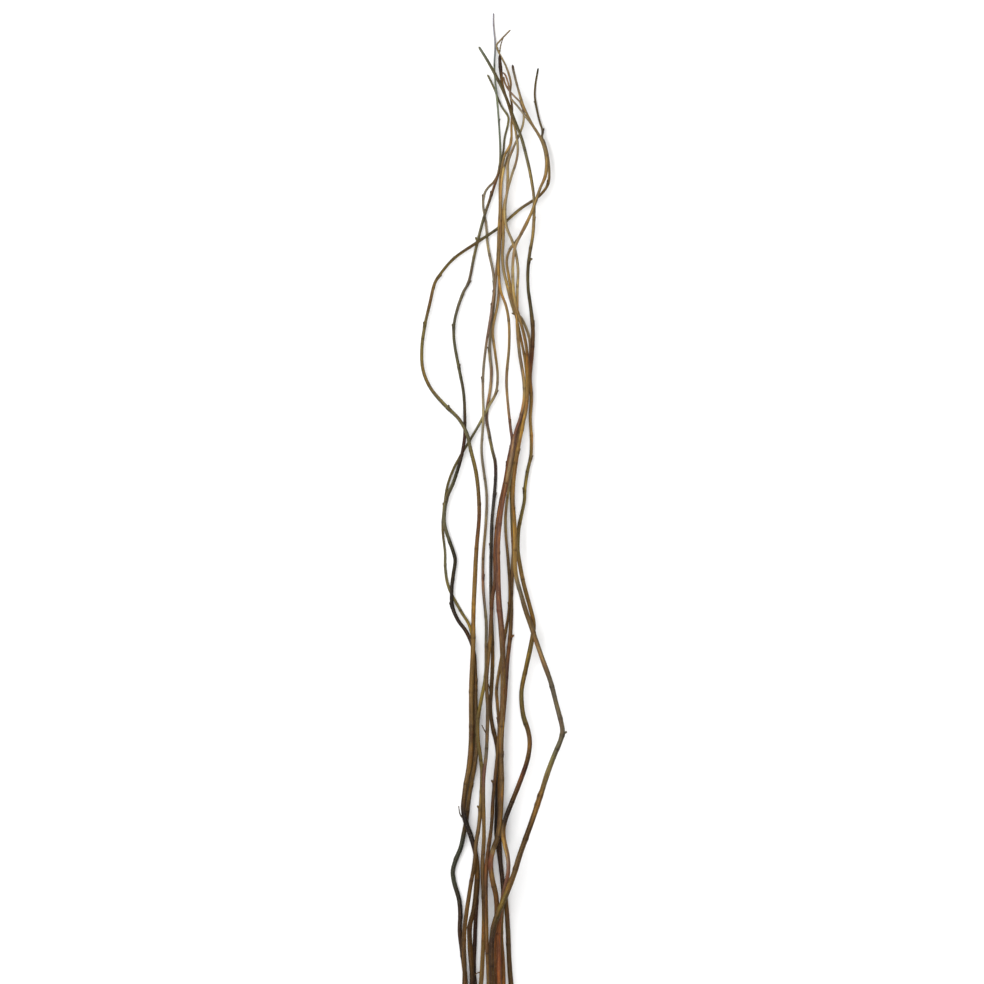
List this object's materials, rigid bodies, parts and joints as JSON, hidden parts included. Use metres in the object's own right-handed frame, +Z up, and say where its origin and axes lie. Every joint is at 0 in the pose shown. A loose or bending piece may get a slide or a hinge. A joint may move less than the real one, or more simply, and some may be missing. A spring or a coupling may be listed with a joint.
{
  "type": "willow stem bunch",
  "caption": "Loose bunch of long curly willow stems, crossing and leaning on one another, laid down on a table.",
  "frame": {"origin": "on the table, under the middle of the lying bunch", "axes": "+Y along the bunch from the cut butts to the tips, +X across it to the picture's right, +Z up from the table"},
  "size_m": [0.1845, 1.2541, 0.0543],
  "materials": {
    "bark_near_black_brown": "satin bark",
    "bark_olive_brown": "satin bark",
    "bark_dark_grey_green": "satin bark",
    "bark_golden_brown": "satin bark",
    "bark_reddish_brown": "satin bark",
    "bark_orange_brown": "satin bark",
    "bark_olive": "satin bark",
    "bark_brown": "satin bark",
    "bark_rust": "satin bark",
    "bark_maroon_brown": "satin bark",
    "bark_light_olive_brown": "satin bark"
  },
  "bodies": {
    "root": {"stem_01": "bark_near_black_brown", "stem_02": "bark_olive_brown", "stem_03": "bark_dark_grey_green", "stem_04": "bark_golden_brown", "stem_05": "bark_reddish_brown", "stem_06": "bark_orange_brown", "stem_07": "bark_olive", "stem_08": "bark_brown", "stem_09": "bark_rust", "stem_10": "bark_maroon_brown", "stem_11": "bark_light_olive_brown"}
  },
  "joints": []
}
